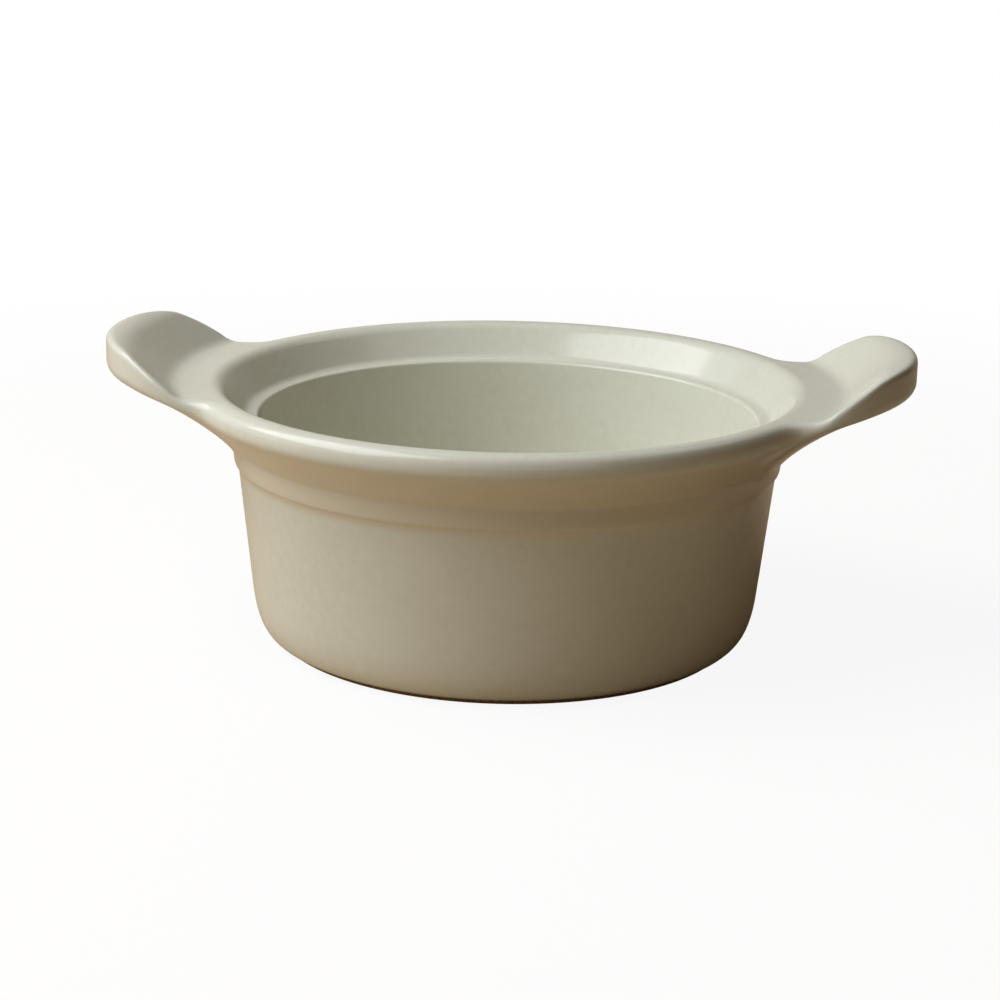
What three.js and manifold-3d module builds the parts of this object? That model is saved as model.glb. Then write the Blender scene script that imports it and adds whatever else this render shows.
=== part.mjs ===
// A small round stoneware casserole without its lid: a tapering bowl, a coved collar round its neck,
// two upturned ear handles and an unglazed foot ring. The pieces are formed apart, joined with slip
// while the clay is soft and fired as one dish.
// Millimetres, +Z up. The origin is on the table under the middle, and the ears point along X.
import * as THREE from 'three';
import { mergeVertices } from 'three/addons/utils/BufferGeometryUtils.js';
import Module from 'manifold-3d';

const { degToRad, clamp, lerp, smoothstep } = THREE.MathUtils;

// Heights above the table
const RIM_HEIGHT = 60.8; // top of the collar
const GALLERY_DEPTH = 8; // from the top of the collar down to the lid's ledge
const COLLAR_DEPTH = 19.4; // from the top of the collar down to its lower edge
const BAND_DEPTH = 15.8; // from the top of the collar down to the foot of its narrow band
const COVE_DEPTH = 14.2; // from the top of the collar down to where its hollow cove begins
const FOOT_HEIGHT = 1.2;

// Bowl
const WALL_RADIUS = 62.9; // outside, just under the collar
const WALL_DRAW_IN = 3.2; // how far the wall has drawn in where the bottom corner begins
const WALL = 4.7;
const FLOOR = 4.6;
const SHOULDER = 1; // step in the wall that the collar's lower edge rests on
const CORNER_HEIGHT = 11; // rounded bottom corner, outside
const CORNER_WIDTH = 5.6;
const INNER_CORNER_HEIGHT = 9; // rounded bottom corner, inside
const INNER_CORNER_WIDTH = 9;
const LEDGE_ROUND = 0.8; // softened inner edge of the ledge

// Collar
const COLLAR_STEP = 1.1; // how far its band stands out from the wall
const LOWER_EDGE_TURN = 0.4; // share of the lower edge's height where it turns upright
const GALLERY_FLARE = 6; // how far the gallery slopes outwards from the ledge to the rim
const RIM_WIDTH = 4.8; // from the gallery's top edge to the outside of the lip
const RIM_EDGE_ROUND = 1.2; // softened inner edge of the rim
const LIP_ROUND = 3.4; // rounded top of the lip
const LIP_DEPTH = 5; // upright side of the lip, before its edges are rounded
const LIP_UNDER_SLOPE = degToRad(40);
const TOP_ROUND_SHARE = 0.68; // most that the rounded top edge takes of the upright side
const UNDER_ROUND_SHARE = 0.3; // what the rounded lower edge takes of it
const COVE_RISE = 0.18; // share of its height at which the cove turns outwards
const COVE_RUN_OUT = 0.4; // share of its width in which the cove runs straight into the edge

// Ear handles
const EAR_REACH = 21; // from the collar's lip to the ear's tip
const EAR_WIDTH = 66; // over its straight flanks
const EAR_TIP_LENGTH = 24; // the elliptical end, along the ear
const EAR_FILLET = 3; // softness of the corner between a flank and the lip
const EAR_LAND = 3.2; // level stretch between the lip and the bend
const EAR_BEND = 5; // radius of the bend
const EAR_SLOPE = degToRad(41.5);
const EAR_CROWN = 10; // radius of the crown that turns the slope level again towards the tip
const EAR_CROWN_LENGTH = 7.5;
const EAR_UNDER_RISE = 6.6; // from the lip's lower edge up to the tip's
const EAR_UNDER_BOW = 0.7; // how much sooner the lower edge rises near the lip
const EAR_ROUND = 1.5; // rounded top edge
const EAR_ROUND_SHARE = 0.25; // share of the reach in which the lip's edge sharpens to the ear's
const EAR_UNDER_SLOPE = degToRad(10);
const EAR_ROOT_DROP = 1.6; // how much lower the cove begins at the middle of the ear

// Foot ring
const FOOT_INSET = 0.4; // from the edge of the bowl's base
const FOOT_WIDTH = 5;

// Slip left between two joined pieces
const JOINT_GAP = 0.3;

// Fineness of the facets
const TURN_STEPS = 72;
const BEND_STEPS = 4;
const COVE_STEPS = 6;
const EAR_TOP_STEPS = 10;
const EAR_STATIONS = 40;
const STATION_CROWDING = 1.6; // crowds the stations towards the ear's flanks
const FILLET_RUN_OUT = 6; // fillet softnesses after which nothing is left of an ear
const NUDGE = 1e-4;
const SAME_POINT = 1e-6;

const LEDGE_HEIGHT = RIM_HEIGHT - GALLERY_DEPTH;
const COLLAR_FOOT_HEIGHT = RIM_HEIGHT - COLLAR_DEPTH;
const BAND_FOOT_HEIGHT = RIM_HEIGHT - BAND_DEPTH;
const COVE_HEIGHT = RIM_HEIGHT - COVE_DEPTH;
const CORNER_TOP = FOOT_HEIGHT + CORNER_HEIGHT;
const FLOOR_HEIGHT = FOOT_HEIGHT + FLOOR;
const BASE_RADIUS = WALL_RADIUS - WALL_DRAW_IN - CORNER_WIDTH;
const NECK_RADIUS = WALL_RADIUS - SHOULDER;
const COLLAR_BORE = NECK_RADIUS + JOINT_GAP;
const BAND_RADIUS = WALL_RADIUS + COLLAR_STEP;
const GALLERY_RADIUS = COLLAR_BORE + GALLERY_FLARE;
const LIP_RADIUS = GALLERY_RADIUS + RIM_WIDTH;
const BEND_START = LIP_RADIUS + EAR_LAND;
const BEND_END = BEND_START + EAR_BEND * Math.sin(EAR_SLOPE);
const EAR_TIP = LIP_RADIUS + EAR_REACH;
const EAR_TIP_CENTRE = EAR_TIP - EAR_TIP_LENGTH;
const CROWN_START = EAR_TIP - EAR_CROWN_LENGTH;
const EAR_SPREAD = Math.asin(EAR_WIDTH / 2 / (LIP_RADIUS - FILLET_RUN_OUT * EAR_FILLET));

const wasm = await Module();
wasm.setup();

const glaze = () => new THREE.MeshStandardMaterial({ color: 0xd2cfc0, roughness: 0.2, metalness: 0 });
const biscuit = () => new THREE.MeshStandardMaterial({ color: 0xb89a78, roughness: 0.85, metalness: 0 });

const named = (name, geometry, material) => {
  const mesh = new THREE.Mesh(geometry, material);
  mesh.name = name;
  return mesh;
};

// Profiles are drawn as points of radius and height, anticlockwise round the clay.
const at = (radius, height) => new THREE.Vector2(radius, height);

const bend = (from, corner, to) => new THREE.QuadraticBezierCurve(from, corner, to).getPoints(BEND_STEPS);

const bendInSpace = (from, corner, to) =>
  new THREE.QuadraticBezierCurve3(from, corner, to).getPoints(BEND_STEPS);

const outline = (...runs) => {
  const isNew = (point, index, all) => index === 0 || point.distanceTo(all[index - 1]) > SAME_POINT;
  return runs.flat().filter(isNew);
};

const turned = (profile) => new THREE.LatheGeometry(profile, TURN_STEPS).rotateX(Math.PI / 2);

const toSolid = (geometry) => {
  const bare = geometry.clone();
  bare.deleteAttribute('normal');
  bare.deleteAttribute('uv');
  const merged = mergeVertices(bare);
  return new wasm.Manifold(new wasm.Mesh({
    numProp: 3,
    vertProperties: new Float32Array(merged.attributes.position.array),
    triVerts: new Uint32Array(merged.index.array),
  }));
};

const toGeometry = (solid) => {
  const { vertProperties, triVerts } = solid.getMesh();
  const geometry = new THREE.BufferGeometry();
  geometry.setAttribute('position', new THREE.BufferAttribute(vertProperties, 3));
  geometry.setIndex(new THREE.BufferAttribute(triVerts, 1));
  geometry.computeVertexNormals();
  return geometry;
};

// The outside of the wall is a straight taper, and the inside runs parallel to it up to the ledge.
const wallOutside = (height) => {
  const run = COLLAR_FOOT_HEIGHT - CORNER_TOP;
  return at(WALL_RADIUS - (WALL_DRAW_IN * (COLLAR_FOOT_HEIGHT - height)) / run, height);
};

const wallInside = (height) => wallOutside(height).sub(at(WALL, 0));

const makeBowl = () => {
  const base = at(BASE_RADIUS, FOOT_HEIGHT);
  const ledgeEdge = wallInside(LEDGE_HEIGHT);
  const ledgeTop = at(ledgeEdge.x + LEDGE_ROUND, LEDGE_HEIGHT);
  const ledgeSide = wallInside(LEDGE_HEIGHT - LEDGE_ROUND);
  const innerCorner = wallInside(FLOOR_HEIGHT);
  const innerCornerTop = wallInside(FLOOR_HEIGHT + INNER_CORNER_HEIGHT);
  const floorEdge = at(innerCorner.x - INNER_CORNER_WIDTH, FLOOR_HEIGHT);
  const profile = outline(
    at(0, FOOT_HEIGHT),
    bend(base, wallOutside(FOOT_HEIGHT), wallOutside(CORNER_TOP)),
    at(WALL_RADIUS, COLLAR_FOOT_HEIGHT),
    at(NECK_RADIUS, COLLAR_FOOT_HEIGHT),
    at(NECK_RADIUS, LEDGE_HEIGHT),
    bend(ledgeTop, ledgeEdge, ledgeSide),
    bend(innerCornerTop, innerCorner, floorEdge),
    at(0, FLOOR_HEIGHT),
  );
  return named('bowl', turned(profile), glaze());
};

// The outline of an ear in plan, as a radius at an angle from its middle: straight flanks, an
// elliptical tip and a soft corner where a flank leaves the lip.
const tipOutline = (along, across) => {
  const square = (along / EAR_TIP_LENGTH) ** 2 + (across / (EAR_WIDTH / 2)) ** 2;
  const half = (EAR_TIP_CENTRE * along) / EAR_TIP_LENGTH ** 2;
  const rest = (EAR_TIP_CENTRE / EAR_TIP_LENGTH) ** 2 - 1;
  return (half + Math.sqrt(half ** 2 - square * rest)) / square;
};

const earOutline = (angle) => {
  const [along, across] = [Math.cos(angle), Math.abs(Math.sin(angle))];
  const flank = EAR_WIDTH / 2 / across;
  const plain = flank * along < EAR_TIP_CENTRE ? flank : tipOutline(along, across);
  return LIP_RADIUS + EAR_FILLET * Math.log1p(Math.exp((plain - LIP_RADIUS) / EAR_FILLET));
};

// The top of an ear is level with the rim up to the bend, turns up, and its crown turns level again.
const earSlope = (radius) => {
  const rising = clamp((radius - BEND_START) / EAR_BEND, 0, Math.sin(EAR_SLOPE));
  return Math.asin(rising - clamp((radius - CROWN_START) / EAR_CROWN, 0, rising));
};

const earTop = (radius) => {
  const bent = EAR_BEND * (1 - Math.cos(earSlope(Math.min(radius, BEND_END))));
  const straight = (clamp(radius, BEND_END, CROWN_START) - BEND_END) * Math.tan(EAR_SLOPE);
  const crown = radius > CROWN_START ? EAR_CROWN * (Math.cos(earSlope(radius)) - Math.cos(EAR_SLOPE)) : 0;
  return RIM_HEIGHT + bent + straight + crown;
};

const inPlan = (radius, angle, height) =>
  new THREE.Vector3(radius * Math.cos(angle), radius * Math.sin(angle), height);

// The outside of the rim at an angle from the middle of an ear: the hollow cove, the rounded lower
// edge, the upright side and the rounded top edge, which are square to the outline in plan. Away from
// the ears it is the collar's own lip.
const rimSection = (angle) => {
  const reach = earOutline(angle);
  const share = (reach - LIP_RADIUS) / EAR_REACH;
  const swing = Math.atan((earOutline(angle + NUDGE) - earOutline(angle - NUDGE)) / (2 * NUDGE * reach));
  const facing = Math.cos(swing);
  const inset = (distance, height) =>
    inPlan(reach, angle, height).sub(inPlan(distance, angle - swing, 0));

  const round = lerp(LIP_ROUND, EAR_ROUND, smoothstep(share, 0, EAR_ROUND_SHARE));
  const topEnd = inset(round, 0);
  const topRadius = Math.hypot(topEnd.x, topEnd.y);
  const rise = Math.tan(earSlope(topRadius)) * facing;
  topEnd.z = earTop(topRadius);
  const topCorner = topEnd.z + round * rise;
  const underRise = EAR_UNDER_RISE * share * (1 + EAR_UNDER_BOW * (1 - share));
  const bottomCorner = RIM_HEIGHT - LIP_DEPTH + underRise;
  const depth = topCorner - bottomCorner;
  const sideTop = inset(0, topCorner - Math.min(round * Math.hypot(1, rise), depth * TOP_ROUND_SHARE));

  const underRound = depth * UNDER_ROUND_SHARE;
  const underSlope = Math.tan(lerp(LIP_UNDER_SLOPE, EAR_UNDER_SLOPE, share));
  const underWidth = underRound / Math.hypot(1, underSlope * facing);
  const underEnd = inset(underWidth, bottomCorner - underWidth * underSlope * facing);
  const sideBottom = inset(0, bottomCorner + underRound);

  const root = inPlan(BAND_RADIUS, angle, COVE_HEIGHT - EAR_ROOT_DROP * share);
  const hollow = root.clone().setZ(lerp(root.z, underEnd.z, COVE_RISE));
  const runOut = underEnd.clone().lerp(root, COVE_RUN_OUT);
  const runOutWidth = underEnd.clone().sub(runOut).dot(inPlan(1, angle, 0));
  runOut.setZ(underEnd.z - runOutWidth * underSlope);
  const cove = new THREE.CubicBezierCurve3(root, hollow, runOut, underEnd).getPoints(COVE_STEPS);
  return [
    ...cove,
    ...bendInSpace(underEnd, inset(0, bottomCorner), sideBottom).slice(1),
    ...bendInSpace(sideTop, inset(0, topCorner), topEnd),
  ];
};

const toProfile = (point) => at(Math.hypot(point.x, point.y), point.z);

const collarOutside = rimSection(Math.PI / 2).map(toProfile);

const makeCollar = () => {
  const lowerEdge = bend(
    at(WALL_RADIUS, COLLAR_FOOT_HEIGHT),
    at(BAND_RADIUS, lerp(COLLAR_FOOT_HEIGHT, BAND_FOOT_HEIGHT, LOWER_EDGE_TURN)),
    at(BAND_RADIUS, BAND_FOOT_HEIGHT),
  );
  const gallerySide = at(
    GALLERY_RADIUS - (RIM_EDGE_ROUND * GALLERY_FLARE) / GALLERY_DEPTH, RIM_HEIGHT - RIM_EDGE_ROUND);
  const profile = outline(
    at(COLLAR_BORE, COLLAR_FOOT_HEIGHT),
    lowerEdge,
    collarOutside,
    bend(at(GALLERY_RADIUS + RIM_EDGE_ROUND, RIM_HEIGHT), at(GALLERY_RADIUS, RIM_HEIGHT), gallerySide),
    at(COLLAR_BORE, LEDGE_HEIGHT),
    at(COLLAR_BORE, COLLAR_FOOT_HEIGHT),
  );
  return named('rim_collar', turned(profile), glaze());
};

// The room that the collar and the slip round it take, which trims the ears' roots.
const makeCollarRoom = () => {
  const swollen = collarOutside.map((point, index, all) => {
    const along = all[Math.min(index + 1, all.length - 1)].clone().sub(all[Math.max(index - 1, 0)]);
    return point.clone().add(at(along.y, -along.x).setLength(JOINT_GAP));
  });
  const profile = outline(
    at(COLLAR_BORE, COLLAR_FOOT_HEIGHT),
    at(BAND_RADIUS + JOINT_GAP, COLLAR_FOOT_HEIGHT),
    swollen,
    at(COLLAR_BORE, RIM_HEIGHT + JOINT_GAP),
    at(COLLAR_BORE, COLLAR_FOOT_HEIGHT),
  );
  return toSolid(turned(profile));
};

// One section of an ear: the outside of the rim, then the top back to over the collar's band.
const earSection = (angle) => {
  const outside = rimSection(angle);
  const [topEnd, back] = [outside.at(-1), inPlan(BAND_RADIUS, angle, RIM_HEIGHT)];
  const top = Array.from({ length: EAR_TOP_STEPS }, (_, step) => {
    const point = topEnd.clone().lerp(back, (step + 1) / EAR_TOP_STEPS);
    return point.setZ(earTop(Math.hypot(point.x, point.y)));
  });
  return [...outside, ...top];
};

// Joins successive sections into one closed body.
const lofted = (sections) => {
  const count = sections[0].length;
  const positions = sections.flatMap((section) => section.flatMap((point) => point.toArray()));
  const index = [];
  for (let station = 0; station + 1 < sections.length; station += 1) {
    for (let point = 0; point < count; point += 1) {
      const here = station * count + point;
      const next = station * count + ((point + 1) % count);
      index.push(here, here + count, next);
      index.push(next, here + count, next + count);
    }
  }
  const lastStart = (sections.length - 1) * count;
  for (const [a, b, c] of THREE.ShapeUtils.triangulateShape(sections[0].map(toProfile), [])) {
    index.push(a, b, c);
  }
  for (const [a, b, c] of THREE.ShapeUtils.triangulateShape(sections.at(-1).map(toProfile), [])) {
    index.push(lastStart + c, lastStart + b, lastStart + a);
  }
  const geometry = new THREE.BufferGeometry();
  geometry.setAttribute('position', new THREE.Float32BufferAttribute(positions, 3));
  geometry.setIndex(index);
  return geometry;
};

const makeEarGeometry = () => {
  const angles = Array.from({ length: EAR_STATIONS + 1 }, (_, station) => {
    const place = (2 * station) / EAR_STATIONS - 1;
    return Math.sign(place) * EAR_SPREAD * (1 - (1 - Math.abs(place)) ** STATION_CROWDING);
  });
  const blank = toSolid(lofted(angles.map(earSection)));
  return toGeometry(blank.subtract(makeCollarRoom()));
};

const makeFootRing = () => {
  const outside = BASE_RADIUS - FOOT_INSET;
  const inside = outside - FOOT_WIDTH;
  const profile = outline(
    at(inside, 0), at(outside, 0), at(outside, FOOT_HEIGHT), at(inside, FOOT_HEIGHT), at(inside, 0));
  return named('foot_ring', turned(profile), biscuit());
};

const earGeometry = makeEarGeometry();
const rightHandle = named('right_handle', earGeometry, glaze());
const leftHandle = named('left_handle', earGeometry, glaze());
leftHandle.rotation.z = Math.PI;

const casserole = new THREE.Group();
casserole.add(makeBowl(), makeCollar(), leftHandle, rightHandle, makeFootRing());

export default casserole;
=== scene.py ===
import math

import bmesh
import bpy
from mathutils import Matrix, Vector
from mathutils.geometry import interpolate_bezier


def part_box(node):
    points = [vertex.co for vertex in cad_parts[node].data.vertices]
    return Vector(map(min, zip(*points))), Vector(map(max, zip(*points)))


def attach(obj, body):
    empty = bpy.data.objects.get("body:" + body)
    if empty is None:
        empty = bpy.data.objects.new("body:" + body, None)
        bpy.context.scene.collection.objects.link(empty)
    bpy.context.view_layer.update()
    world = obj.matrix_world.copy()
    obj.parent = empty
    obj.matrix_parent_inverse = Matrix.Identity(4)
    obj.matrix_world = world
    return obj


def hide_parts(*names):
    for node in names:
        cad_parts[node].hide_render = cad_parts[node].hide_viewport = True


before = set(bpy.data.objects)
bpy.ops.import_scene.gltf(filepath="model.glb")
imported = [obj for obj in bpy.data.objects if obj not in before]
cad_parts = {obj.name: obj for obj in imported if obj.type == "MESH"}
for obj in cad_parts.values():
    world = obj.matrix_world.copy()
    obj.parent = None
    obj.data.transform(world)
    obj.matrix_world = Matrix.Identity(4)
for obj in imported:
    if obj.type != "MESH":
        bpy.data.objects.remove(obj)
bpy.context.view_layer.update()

MM = 0.001
HAIR = 0.01 * MM

# Sizes taken from the frame: heights of base, step line, ledge and rim, and radii of wall, lip and ears.
# Lip and ears stay a hair inside it.
BOWL_LOW, BOWL_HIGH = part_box("bowl")
COLLAR_LOW, COLLAR_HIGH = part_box("rim_collar")
EAR_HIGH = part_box("right_handle")[1]
FOOT_LOW, FOOT_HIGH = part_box("foot_ring")
BASE_HEIGHT = BOWL_LOW.z
STEP_HEIGHT = COLLAR_LOW.z
LEDGE_HEIGHT = BOWL_HIGH.z
RIM_HEIGHT = COLLAR_HIGH.z
WALL_RADIUS = BOWL_HIGH.x
LIP_RADIUS = COLLAR_HIGH.x - HAIR
EAR_TIP = EAR_HIGH.x - 2 * HAIR

# Bowl
WALL = 5.9 * MM
FLOOR = 4.6 * MM
WALL_LEAN = 3.2 / 29.2
CORNER_TOP = 12.2 * MM
BASE_RADIUS = 54.1 * MM
INNER_CORNER_HEIGHT = 9 * MM
INNER_CORNER_WIDTH = 9 * MM
NECK_RADIUS = 61.9 * MM
LEDGE_ROUND = 0.8 * MM

# Collar
BAND_RADIUS = 64 * MM
BAND_FOOT = 45 * MM
LOWER_EDGE_TURN = 0.4
CREASE = 1.3 * MM
COVE_HEIGHT = 46.6 * MM
COVE_RISE = 0.18
COVE_RUN_OUT = 0.4
LIP_ROUND = 3.4 * MM
LIP_DEPTH = 5 * MM
LIP_UNDER_SLOPE = math.radians(40)
TOP_ROUND_SHARE = 0.68
UNDER_ROUND_SHARE = 0.3
GALLERY_RADIUS = 67.2 * MM
RIM_EDGE_ROUND = 2.2 * MM
LEDGE_CORNER = Vector((61.2 * MM, 0, LEDGE_HEIGHT))
LEDGE_HOLLOW = 1.3 * MM

# Ears
EAR_WIDTH = 66 * MM
EAR_TIP_LENGTH = 24 * MM
EAR_FILLET = 3 * MM
FILLET_RUN_OUT = 6
EAR_LAND = 3.2 * MM
EAR_BEND = 5 * MM
EAR_SLOPE = math.radians(41.5)
EAR_CROWN = 9.95 * MM
EAR_CROWN_LENGTH = 7.5 * MM
EAR_UNDER_RISE = 6.6 * MM
EAR_UNDER_BOW = 0.7
EAR_ROUND = 2.2 * MM
EAR_ROUND_SHARE = 0.25
EAR_UNDER_SLOPE = math.radians(10)
EAR_ROOT_DROP = 2.6 * MM
EAR_SINK = HAIR
EAR_END = 0.3 * MM
EAR_REACH = EAR_TIP - LIP_RADIUS
EAR_TIP_CENTRE = EAR_TIP - EAR_TIP_LENGTH
BEND_START = LIP_RADIUS + EAR_LAND
BEND_END = BEND_START + EAR_BEND * math.sin(EAR_SLOPE)
CROWN_START = EAR_TIP - EAR_CROWN_LENGTH
EAR_SPREAD = math.asin(EAR_WIDTH / 2 / (LIP_RADIUS - FILLET_RUN_OUT * EAR_FILLET))
CREST_RADIUS = LIP_RADIUS - LIP_ROUND - EAR_SINK
# The back of an ear, buried in the collar: radius and height of each point
EAR_ROOT = [(69.4 * MM, 59.8 * MM), (66.5 * MM, 54.5 * MM), (63.4 * MM, 50 * MM), (63.2 * MM, 45.1 * MM)]

# Foot ring
FOOT_WIDTH = 5 * MM
FOOT_EDGE = 0.3 * MM

# Mesh
BOWL_STEPS = 240
COLLAR_STEPS = 480
BEND_STEPS = 12
COVE_STEPS = 18
EAR_TOP_STEPS = 30
EAR_STATIONS = 220
NUDGE = 0.0001
LONGEST_STEP = 4 * MM
SAME_POINT = 0.0005 * MM
SHARP = math.radians(50)
QUADRATIC_PULL = 2 / 3


def at(radius, height):
    """A point of an outline, in the plane y = 0."""
    return Vector((radius, 0, height))


def bend(start, corner, end):
    """A soft turn that leaves start and reaches end along the two sides of the corner."""
    pulls = start.lerp(corner, QUADRATIC_PULL), end.lerp(corner, QUADRATIC_PULL)
    return interpolate_bezier(start, *pulls, end, BEND_STEPS + 1)


def outline(*stretches):
    """Joins points and lists of points, drops repeats and splits the long straight runs."""
    points = []
    for stretch in stretches:
        for point in [stretch] if isinstance(stretch, Vector) else stretch:
            if not points:
                points.append(point)
                continue
            last = points[-1]
            parts = math.ceil((point - last).length / LONGEST_STEP)
            points += [last.lerp(point, (i + 1) / parts) for i in range(parts)]
    return points


def wire(bm, points, closed):
    """Adds the outline to the mesh as vertices and edges."""
    verts = [bm.verts.new(point) for point in points]
    pairs = list(zip(verts, verts[1:] + verts[:1] if closed else verts[1:]))
    return verts, [bm.edges.new(pair) for pair in pairs]


def turned(points, steps, closed):
    """The body that an outline makes on the wheel."""
    bm = bmesh.new()
    verts, edges = wire(bm, points, closed)
    bmesh.ops.spin(bm, geom=verts + edges, cent=(0, 0, 0), axis=(0, 0, 1), angle=math.tau,
                   steps=steps, use_merge=True)
    return bm


def wall_outside(height):
    return at(WALL_RADIUS - WALL_LEAN * (STEP_HEIGHT - height), height)


def wall_inside(height):
    return wall_outside(height) - Vector((WALL, 0, 0))


def bowl_outline():
    """From the middle of the underside, up the wall, over the ledge and down to the middle of the floor."""
    floor_height = BASE_HEIGHT + FLOOR
    ledge_edge = wall_inside(LEDGE_HEIGHT)
    floor_corner = wall_inside(floor_height)
    return outline(
        at(0, BASE_HEIGHT),
        bend(at(BASE_RADIUS, BASE_HEIGHT), wall_outside(BASE_HEIGHT), wall_outside(CORNER_TOP)),
        at(WALL_RADIUS, STEP_HEIGHT),
        at(NECK_RADIUS, STEP_HEIGHT),
        at(NECK_RADIUS, LEDGE_HEIGHT),
        bend(ledge_edge + Vector((LEDGE_ROUND, 0, 0)), ledge_edge, wall_inside(LEDGE_HEIGHT - LEDGE_ROUND)),
        bend(wall_inside(floor_height + INNER_CORNER_HEIGHT), floor_corner,
             floor_corner - Vector((INNER_CORNER_WIDTH, 0, 0))),
        at(0, floor_height),
    )


def within(value, low, high):
    return min(max(value, low), high)


def mixed(start, end, share):
    return start + (end - start) * share


def in_plan(radius, angle, height):
    return Vector((radius * math.cos(angle), radius * math.sin(angle), height))


def ear_outline(angle):
    """The ear's edge in plan: straight flanks, an elliptical tip and a soft corner at the lip."""
    along, across = math.cos(angle), abs(math.sin(angle))
    half_width = EAR_WIDTH / 2
    if half_width * along < across * EAR_TIP_CENTRE:
        plain = half_width / across
    else:
        square = (along / EAR_TIP_LENGTH) ** 2 + (across / half_width) ** 2
        middle = EAR_TIP_CENTRE * along / EAR_TIP_LENGTH ** 2
        rest = (EAR_TIP_CENTRE / EAR_TIP_LENGTH) ** 2 - 1
        plain = (middle + math.sqrt(middle ** 2 - square * rest)) / square
    drawn = EAR_FILLET * math.log1p(math.exp((plain - LIP_RADIUS) / EAR_FILLET))
    return LIP_RADIUS + drawn - EAR_SINK


def ear_slope(radius):
    """How steeply the top of the ear rises at a radius."""
    rising = within((radius - BEND_START) / EAR_BEND, 0, math.sin(EAR_SLOPE))
    return math.asin(rising - within((radius - CROWN_START) / EAR_CROWN, 0, rising))


def ear_top(radius):
    """The height of the ear's top at a radius: level land, bend, straight slope and a level crown."""
    bent = EAR_BEND * (1 - math.cos(ear_slope(min(radius, BEND_END))))
    straight = (within(radius, BEND_END, CROWN_START) - BEND_END) * math.tan(EAR_SLOPE)
    crown = 0
    if radius > CROWN_START:
        crown = EAR_CROWN * (math.cos(ear_slope(radius)) - math.cos(EAR_SLOPE))
    return RIM_HEIGHT + bent + straight + crown


def rim_section(angle):
    """From the cove's root up and round the edge to its top, at an angle from the middle of an ear."""
    reach = ear_outline(angle)
    share = (reach - LIP_RADIUS) / EAR_REACH
    change = ear_outline(angle + NUDGE) - ear_outline(angle - NUDGE)
    swing = math.atan(change / (2 * NUDGE * reach))
    facing = math.cos(swing)

    def inset(distance, height):
        return in_plan(reach, angle, height) - in_plan(distance, angle - swing, 0)

    sharpened = within(share / EAR_ROUND_SHARE, 0, 1)
    round_width = mixed(LIP_ROUND, EAR_ROUND, sharpened ** 2 * (3 - 2 * sharpened))
    top_end = inset(round_width, 0)
    top_radius = top_end.length
    rise = math.tan(ear_slope(top_radius)) * facing
    top_end.z = ear_top(top_radius)
    top_corner = top_end.z + round_width * rise
    under_rise = EAR_UNDER_RISE * share * (1 + EAR_UNDER_BOW * (1 - share))
    bottom_corner = RIM_HEIGHT - LIP_DEPTH + under_rise
    depth = top_corner - bottom_corner
    top_round = min(round_width * math.hypot(1, rise), depth * TOP_ROUND_SHARE)

    under_round = depth * UNDER_ROUND_SHARE
    under_slope = math.tan(mixed(LIP_UNDER_SLOPE, EAR_UNDER_SLOPE, share))
    under_width = under_round / math.hypot(1, under_slope * facing)
    under_end = inset(under_width, bottom_corner - under_width * under_slope * facing)

    root = in_plan(BAND_RADIUS - EAR_SINK, angle, COVE_HEIGHT - EAR_ROOT_DROP * share)
    hollow = Vector((root.x, root.y, mixed(root.z, under_end.z, COVE_RISE)))
    run_out = under_end.lerp(root, COVE_RUN_OUT)
    run_out.z = under_end.z - (under_end - run_out).dot(in_plan(1, angle, 0)) * under_slope
    cove = interpolate_bezier(root, hollow, run_out, under_end, COVE_STEPS + 1)
    lower_edge = bend(under_end, inset(0, bottom_corner), inset(0, bottom_corner + under_round))
    upper_edge = bend(inset(0, top_corner - top_round), inset(0, top_corner), top_end)
    return cove + lower_edge[1:] + upper_edge


LIP = [at(point.xy.length + EAR_SINK, point.z) for point in rim_section(math.pi / 2)]


def collar_outline():
    """Round the collar's section, from the crease under its lower edge to the hollow above the ledge."""
    corner = at(WALL_RADIUS, STEP_HEIGHT)
    turn = at(BAND_RADIUS, mixed(STEP_HEIGHT, BAND_FOOT, LOWER_EDGE_TURN))
    crease_end = corner + (turn - corner).normalized() * CREASE
    rim_edge = at(GALLERY_RADIUS, RIM_HEIGHT)
    down_gallery = (LEDGE_CORNER - rim_edge).normalized()
    return outline(
        bend(wall_outside(STEP_HEIGHT - CREASE), corner, crease_end),
        bend(crease_end, turn, at(BAND_RADIUS, BAND_FOOT)),
        LIP,
        bend(rim_edge + Vector((RIM_EDGE_ROUND, 0, 0)), rim_edge, rim_edge + down_gallery * RIM_EDGE_ROUND),
        bend(LEDGE_CORNER - down_gallery * LEDGE_HOLLOW, LEDGE_CORNER,
             LEDGE_CORNER - Vector((LEDGE_HOLLOW, 0, 0))),
        at(NECK_RADIUS, LEDGE_HEIGHT),
        at(NECK_RADIUS, STEP_HEIGHT),
        corner,
    )


def ear_section(angle):
    """Round an ear's section: the edge of the rim, the top back to the lip's crest, and the buried root."""
    edge = rim_section(angle)
    run_out = 1 - within((ear_outline(angle) - LIP_RADIUS) / EAR_END, 0, 1)
    crest = in_plan(CREST_RADIUS, angle, RIM_HEIGHT)
    edge[-1].z -= EAR_SINK * run_out
    top = []
    for step in range(1, EAR_TOP_STEPS + 1):
        point = edge[-1].lerp(crest, step / EAR_TOP_STEPS)
        top.append(Vector((point.x, point.y, ear_top(point.xy.length) - EAR_SINK * run_out)))
    return edge + top + [in_plan(radius, angle, height) for radius, height in EAR_ROOT]


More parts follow.
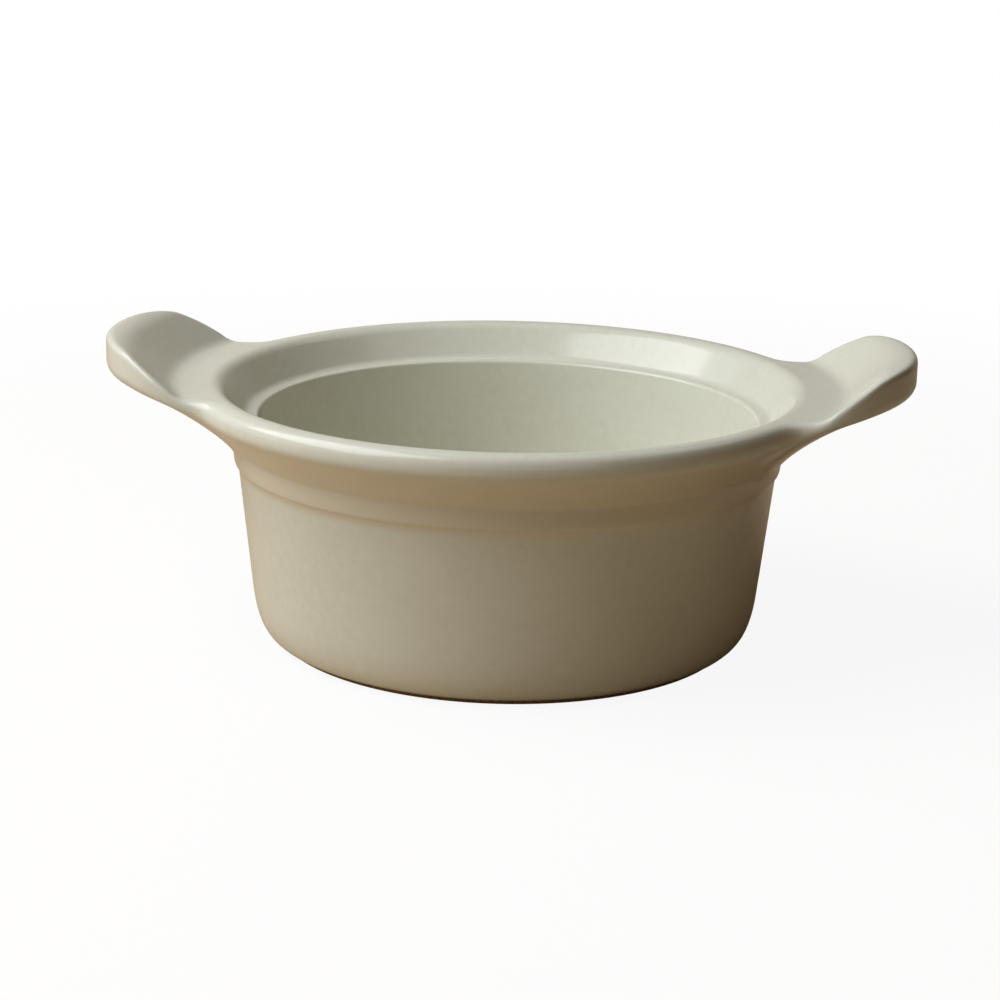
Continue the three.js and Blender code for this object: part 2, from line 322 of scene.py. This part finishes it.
def ear(middle_angle):
    """An ear drawn out of the lip: a section is spun, then each station takes its own section."""
    bm = bmesh.new()
    layer = bm.verts.layers.int.new("place in section")
    verts, edges = wire(bm, ear_section(0), True)
    for place, vert in enumerate(verts):
        vert[layer] = place
    bmesh.ops.rotate(bm, cent=(0, 0, 0), matrix=Matrix.Rotation(-EAR_SPREAD, 3, "Z"), verts=verts)
    bmesh.ops.spin(bm, geom=verts + edges, cent=(0, 0, 0), axis=(0, 0, 1), angle=2 * EAR_SPREAD,
                   steps=EAR_STATIONS)
    to_middle = Matrix.Rotation(middle_angle, 3, "Z")
    sections = {}
    for vert in bm.verts:
        station = round((math.atan2(vert.co.y, vert.co.x) / EAR_SPREAD + 1) * EAR_STATIONS / 2)
        if station not in sections:
            sections[station] = ear_section((2 * station / EAR_STATIONS - 1) * EAR_SPREAD)
        vert.co = to_middle @ sections[station][vert[layer]]
    bm.verts.layers.int.remove(layer)
    ends = [edge for edge in bm.edges if edge.is_boundary]
    bmesh.ops.holes_fill(bm, edges=ends, sides=0)
    return bm


def foot_ring():
    """A flat ring of bare clay with its edges rubbed round."""
    inner = FOOT_HIGH.x - FOOT_WIDTH
    corners = [at(inner, FOOT_LOW.z), at(FOOT_HIGH.x, FOOT_LOW.z),
               at(FOOT_HIGH.x, FOOT_HIGH.z), at(inner, FOOT_HIGH.z)]
    bm = turned(corners, BOWL_STEPS, True)
    corner_edges = [edge for edge in bm.edges if edge.calc_face_angle(0) > SHARP]
    bmesh.ops.bevel(bm, geom=corner_edges, offset=FOOT_EDGE, affect="EDGES", segments=3, profile=0.5,
                    material=-1)
    return bm


def show(name, bm, material, node):
    """Closes the mesh, shades it smooth and puts it in the frame in place of its CAD node."""
    bmesh.ops.remove_doubles(bm, verts=bm.verts, dist=SAME_POINT)
    bmesh.ops.recalc_face_normals(bm, faces=bm.faces)
    for face in bm.faces:
        face.smooth = True
    for edge in bm.edges:
        edge.smooth = edge.calc_face_angle(0) < SHARP
    mesh = bpy.data.meshes.new(name)
    bm.to_mesh(mesh)
    bm.free()
    mesh.materials.append(material)
    piece = bpy.data.objects.new(name, mesh)
    bpy.context.scene.collection.objects.link(piece)
    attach(piece, "root")
    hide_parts(node)


def colour(code):
    """An sRGB hex colour as linear RGBA."""
    channels = [int(code[i:i + 2], 16) / 255 for i in (1, 3, 5)]
    return [c / 12.92 if c <= 0.04045 else ((c + 0.055) / 1.055) ** 2.4 for c in channels] + [1]


def add(tree, kind, inputs, **settings):
    """Adds a node, with its settings, and sets or links its inputs."""
    node = tree.nodes.new(kind)
    for name, value in settings.items():
        setattr(node, name, value)
    for socket, value in inputs.items():
        if isinstance(value, bpy.types.NodeSocket):
            tree.links.new(value, node.inputs[socket])
        else:
            node.inputs[socket].default_value = value
    return node


def material(name):
    made = bpy.data.materials.new(name)
    made.use_nodes = True
    made.node_tree.nodes.clear()
    return made, made.node_tree


# The glaze: glossy cream over stoneware, with faint clouds, a skin that is never quite even,
# and a warmer, slightly darker painted shade under the lip, where shade and warm bounce from below fall
GLAZE = "#DCDCCB"
GLAZE_CLOUD = "#D8D7C5"
GLAZE_PAINTED_SHADE = "#DBD3BD"
CLOUD_SIZE = 30 * MM
MOTTLE_SIZE = 2.2 * MM
RIPPLE_SIZE = 9 * MM
RIPPLE_DEPTH = 0.02 * MM
CLOUD_RANGE = 0.15, 0.4
GLAZE_ROUGHNESS = 0.13, 0.18
GLAZE_IOR = 1.46
# Where the painted shade lies: on the outside, from just below the step up to just above the lip's
# underside
PAINTED_SHADE_LOW = STEP_HEIGHT - 2 * MM
PAINTED_SHADE_HIGH = RIM_HEIGHT - LIP_DEPTH + 1 * MM
PAINTED_SHADE_FADE = 3 * MM
MID_WALL = WALL_RADIUS - WALL / 2
OUTSIDE_LEAN = (GALLERY_RADIUS - MID_WALL) / (RIM_HEIGHT - STEP_HEIGHT)
OUTSIDE_START = MID_WALL - OUTSIDE_LEAN * STEP_HEIGHT
OUTSIDE_FADE = 0.8 * MM


def glazed_stoneware():
    made, tree = material("glazed stoneware")
    place = add(tree, "ShaderNodeTexCoord", {}).outputs["Object"]
    clouds = add(tree, "ShaderNodeTexNoise", {"Vector": place, "Scale": 1 / CLOUD_SIZE, "Detail": 3.0})
    mottle = add(tree, "ShaderNodeTexNoise", {"Vector": place, "Scale": 1 / MOTTLE_SIZE, "Detail": 2.0})
    ripple = add(tree, "ShaderNodeTexNoise", {"Vector": place, "Scale": 1 / RIPPLE_SIZE, "Detail": 1.0})
    tone = add(tree, "ShaderNodeMath", {0: clouds.outputs[0], 1: mottle.outputs[0]}, operation="MULTIPLY")
    share = add(tree, "ShaderNodeMapRange", {"Value": tone.outputs[0], "From Min": CLOUD_RANGE[0],
                                            "From Max": CLOUD_RANGE[1]})
    glaze = add(tree, "ShaderNodeMix", {0: share.outputs[0], 6: colour(GLAZE), 7: colour(GLAZE_CLOUD)},
                data_type="RGBA")
    height = add(tree, "ShaderNodeSeparateXYZ", {0: place}).outputs["Z"]
    around = add(tree, "ShaderNodeVectorMath", {0: place, 1: (1, 1, 0)}, operation="MULTIPLY")
    radius = add(tree, "ShaderNodeVectorMath", {0: around.outputs[0]}, operation="LENGTH").outputs["Value"]
    outside = add(tree, "ShaderNodeMath", {0: height, 1: -OUTSIDE_LEAN, 2: radius},
                  operation="MULTIPLY_ADD")
    # Painted shade: the glaze colour turns warmer and darker on the outside under the lip, standing in for
    # shade and warm bounce from below
    painted_shade = 1.0
    for value, none, full in ((height, PAINTED_SHADE_LOW, PAINTED_SHADE_LOW + PAINTED_SHADE_FADE),
                              (height, PAINTED_SHADE_HIGH, PAINTED_SHADE_HIGH - PAINTED_SHADE_FADE),
                              (outside.outputs[0], OUTSIDE_START, OUTSIDE_START + OUTSIDE_FADE)):
        edge = add(tree, "ShaderNodeMapRange", {"Value": value, "From Min": none, "From Max": full},
                   interpolation_type="SMOOTHSTEP")
        both = add(tree, "ShaderNodeMath", {0: edge.outputs[0], 1: painted_shade}, operation="MULTIPLY")
        painted_shade = both.outputs[0]
    body = add(tree, "ShaderNodeMix", {0: painted_shade, 6: glaze.outputs[2], 7: colour(GLAZE_PAINTED_SHADE)},
               data_type="RGBA")
    gloss = add(tree, "ShaderNodeMapRange", {"Value": mottle.outputs[0], "To Min": GLAZE_ROUGHNESS[0],
                                            "To Max": GLAZE_ROUGHNESS[1]})
    skin = add(tree, "ShaderNodeBump", {"Height": ripple.outputs[0], "Distance": RIPPLE_DEPTH})
    surface = add(tree, "ShaderNodeBsdfPrincipled", {
        "Base Color": body.outputs[2], "Roughness": gloss.outputs[0], "Normal": skin.outputs[0],
        "IOR": GLAZE_IOR})
    add(tree, "ShaderNodeOutputMaterial", {"Surface": surface.outputs[0]})
    return made


# The bare clay of the foot: unglazed stoneware, fired to a dry tan with sandy grit
CLAY = "#B79468"
CLAY_GRIT = "#94703F"
GRIT_SIZE = 0.9 * MM
GRIT_DEPTH = 0.06 * MM
GRIT_RANGE = 0.35, 0.65
CLAY_ROUGHNESS = 0.75, 0.95


def bare_stoneware():
    made, tree = material("bare stoneware")
    place = add(tree, "ShaderNodeTexCoord", {}).outputs["Object"]
    grit = add(tree, "ShaderNodeTexNoise", {"Vector": place, "Scale": 1 / GRIT_SIZE, "Detail": 3.0})
    share = add(tree, "ShaderNodeMapRange", {"Value": grit.outputs[0], "From Min": GRIT_RANGE[0],
                                            "From Max": GRIT_RANGE[1]})
    clay = add(tree, "ShaderNodeMix", {0: share.outputs[0], 6: colour(CLAY), 7: colour(CLAY_GRIT)},
               data_type="RGBA")
    dryness = add(tree, "ShaderNodeMapRange", {"Value": grit.outputs[0], "To Min": CLAY_ROUGHNESS[0],
                                              "To Max": CLAY_ROUGHNESS[1]})
    skin = add(tree, "ShaderNodeBump", {"Height": grit.outputs[0], "Distance": GRIT_DEPTH})
    surface = add(tree, "ShaderNodeBsdfPrincipled", {
        "Base Color": clay.outputs[2], "Roughness": dryness.outputs[0], "Normal": skin.outputs[0]})
    add(tree, "ShaderNodeOutputMaterial", {"Surface": surface.outputs[0]})
    return made


def seen(tree):
    """1 for rays that show the background: from the camera, in gloss and through glass."""
    path = add(tree, "ShaderNodeLightPath", {})
    shown = path.outputs["Is Camera Ray"]
    for ray in ("Is Glossy Ray", "Is Transmission Ray"):
        either = add(tree, "ShaderNodeMath", {0: shown, 1: path.outputs[ray]}, operation="MAXIMUM")
        shown = either.outputs[0]
    return shown


# Floor: how much of its white is its own, and how far out the shadow fades
FLOOR_SIZE = 12
PALE = "#FFFFFF"
GLOW = 0.92
SHADOW_NEAR = 0.2
SHADOW_FAR = 0.5

# Boards that colour the light from below, from the right and from behind
TABLE = "#C6B093"
RIGHT_BOARD = "#402E1E"
BACK_BOARD = "#EFEAE0"
TABLE_SIZE = 3
TABLE_LIFT = 0.2 * MM
BOARD_SIZE = 1.6
BOARD_DISTANCE = 0.6

# Window light from the left, and the room, which is paler by the window
WINDOW = "#F6F9FF"
WINDOW_POWER = 5.67
WINDOW_DIRECTION = Vector((-0.672, -0.18, 0.75))
WINDOW_DISTANCE = 0.7
WINDOW_WIDTH = 0.72
WINDOW_HEIGHT = 0.56
ROOM = "#5C4E3D"
ROOM_BY_WINDOW = "#848B8E"
ROOM_TURN = 0.2


def pale_floor():
    """A pale floor that keeps the dish's soft shadow and turns plain white further out."""
    made, tree = material("pale floor")
    place = add(tree, "ShaderNodeTexCoord", {}).outputs["Object"]
    reach = add(tree, "ShaderNodeVectorMath", {0: place}, operation="LENGTH")
    far = add(tree, "ShaderNodeMapRange", {"Value": reach.outputs["Value"], "From Min": SHADOW_NEAR,
                                          "From Max": SHADOW_FAR}, interpolation_type="SMOOTHSTEP")
    lit = add(tree, "ShaderNodeBsdfDiffuse", {"Color": colour(PALE)})
    white = add(tree, "ShaderNodeEmission", {"Strength": 1.0})
    near = add(tree, "ShaderNodeMixShader", {0: GLOW, 1: lit.outputs[0], 2: white.outputs[0]})
    pale = add(tree, "ShaderNodeMixShader", {0: far.outputs[0], 1: near.outputs[0], 2: white.outputs[0]})
    table = add(tree, "ShaderNodeBsdfDiffuse", {"Color": colour(TABLE)})
    floor = add(tree, "ShaderNodeMixShader", {0: seen(tree), 1: table.outputs[0], 2: pale.outputs[0]})
    add(tree, "ShaderNodeOutputMaterial", {"Surface": floor.outputs[0]})
    sheet("floor", FLOOR_SIZE, Matrix(), made)


def sheet(name, size, place, made):
    """A flat square that belongs to the studio and not to the dish."""
    bm = bmesh.new()
    bmesh.ops.create_grid(bm, x_segments=1, y_segments=1, size=size / 2, matrix=place)
    mesh = bpy.data.meshes.new(name)
    bm.to_mesh(mesh)
    bm.free()
    mesh.materials.append(made)
    square = bpy.data.objects.new(name, mesh)
    bpy.context.scene.collection.objects.link(square)
    return square


def boards():
    """Boards out of the camera's sight: a brown table, a dark one at the right and a pale one behind."""
    upright = Matrix.Rotation(math.pi / 2, 4, "X")
    right = Matrix.Translation((BOARD_DISTANCE, 0, 0)) @ Matrix.Rotation(math.pi / 2, 4, "Z") @ upright
    back = Matrix.Translation((0, BOARD_DISTANCE, 0)) @ upright
    table = Matrix.Translation((0, 0, TABLE_LIFT))
    for name, size, place, code in (("table board", TABLE_SIZE, table, TABLE),
                                    ("right board", BOARD_SIZE, right, RIGHT_BOARD),
                                    ("back board", BOARD_SIZE, back, BACK_BOARD)):
        made, tree = material(name)
        surface = add(tree, "ShaderNodeBsdfDiffuse", {"Color": colour(code)})
        add(tree, "ShaderNodeOutputMaterial", {"Surface": surface.outputs[0]})
        board = sheet(name, size, place, made)
        board.visible_camera = False
        board.visible_shadow = False


def studio_light():
    """One large soft window light from the left, in a dim warm room with a white background."""
    window = bpy.data.lights.new("window light", "AREA")
    window.shape = "RECTANGLE"
    window.size = WINDOW_WIDTH
    window.size_y = WINDOW_HEIGHT
    window.energy = WINDOW_POWER
    window.color = colour(WINDOW)[:3]
    lamp = bpy.data.objects.new("window light", window)
    lamp.location = WINDOW_DIRECTION.normalized() * WINDOW_DISTANCE + Vector((0, 0, RIM_HEIGHT / 2))
    lamp.rotation_euler = WINDOW_DIRECTION.to_track_quat("Z", "Y").to_euler()
    bpy.context.scene.collection.objects.link(lamp)
    world = bpy.data.worlds.new("room")
    bpy.context.scene.world = world
    world.use_nodes = True
    tree = world.node_tree
    tree.nodes.clear()
    way = add(tree, "ShaderNodeTexCoord", {}).outputs["Generated"]
    side = add(tree, "ShaderNodeSeparateXYZ", {0: way}).outputs["X"]
    away = add(tree, "ShaderNodeMapRange", {"Value": side, "From Min": -1.0, "From Max": ROOM_TURN})
    tone = add(tree, "ShaderNodeMix", {0: away.outputs[0], 6: colour(ROOM_BY_WINDOW), 7: colour(ROOM)},
               data_type="RGBA")
    room = add(tree, "ShaderNodeBackground", {"Color": tone.outputs[2]})
    white = add(tree, "ShaderNodeBackground", {"Color": colour(PALE)})
    both = add(tree, "ShaderNodeMixShader", {0: seen(tree), 1: room.outputs[0], 2: white.outputs[0]})
    add(tree, "ShaderNodeOutputWorld", {"Surface": both.outputs[0]})


# Camera: the photograph's viewing angle
CAMERA_AZIMUTH = math.radians(4.5)
CAMERA_ELEVATION = math.radians(15.37)
CAMERA_ROLL = math.radians(1.1)
CAMERA_DISTANCE = 595.9 * MM
CAMERA_LENS = 90.79
CAMERA_SENSOR = 36
TARGET_HEIGHT = 31.68 * MM
TARGET_LEFT = 1.5 * MM


def photo_camera():
    back = Vector((math.sin(CAMERA_AZIMUTH) * math.cos(CAMERA_ELEVATION),
                   -math.cos(CAMERA_AZIMUTH) * math.cos(CAMERA_ELEVATION), math.sin(CAMERA_ELEVATION)))
    right = Vector((math.cos(CAMERA_AZIMUTH), math.sin(CAMERA_AZIMUTH), 0))
    target = Vector((0, 0, TARGET_HEIGHT)) - right * TARGET_LEFT
    level = Matrix((right, back.cross(right), back)).transposed()
    data = bpy.data.cameras.new("camera")
    data.sensor_width = CAMERA_SENSOR
    data.lens = CAMERA_LENS
    camera = bpy.data.objects.new("camera", data)
    turn = Matrix.Rotation(CAMERA_ROLL, 3, back) @ level
    camera.matrix_world = Matrix.Translation(target + back * CAMERA_DISTANCE) @ turn.to_4x4()
    bpy.context.scene.collection.objects.link(camera)
    bpy.context.scene.camera = camera


glaze = glazed_stoneware()
clay = bare_stoneware()
show("glazed_bowl", turned(bowl_outline(), BOWL_STEPS, False), glaze, "bowl")
show("glazed_collar", turned(collar_outline(), COLLAR_STEPS, True), glaze, "rim_collar")
show("right_ear", ear(0), glaze, "right_handle")
show("left_ear", ear(math.pi), glaze, "left_handle")
show("bare_foot_ring", foot_ring(), clay, "foot_ring")
pale_floor()
boards()
studio_light()
photo_camera()
bpy.context.scene.view_settings.view_transform = "Standard"
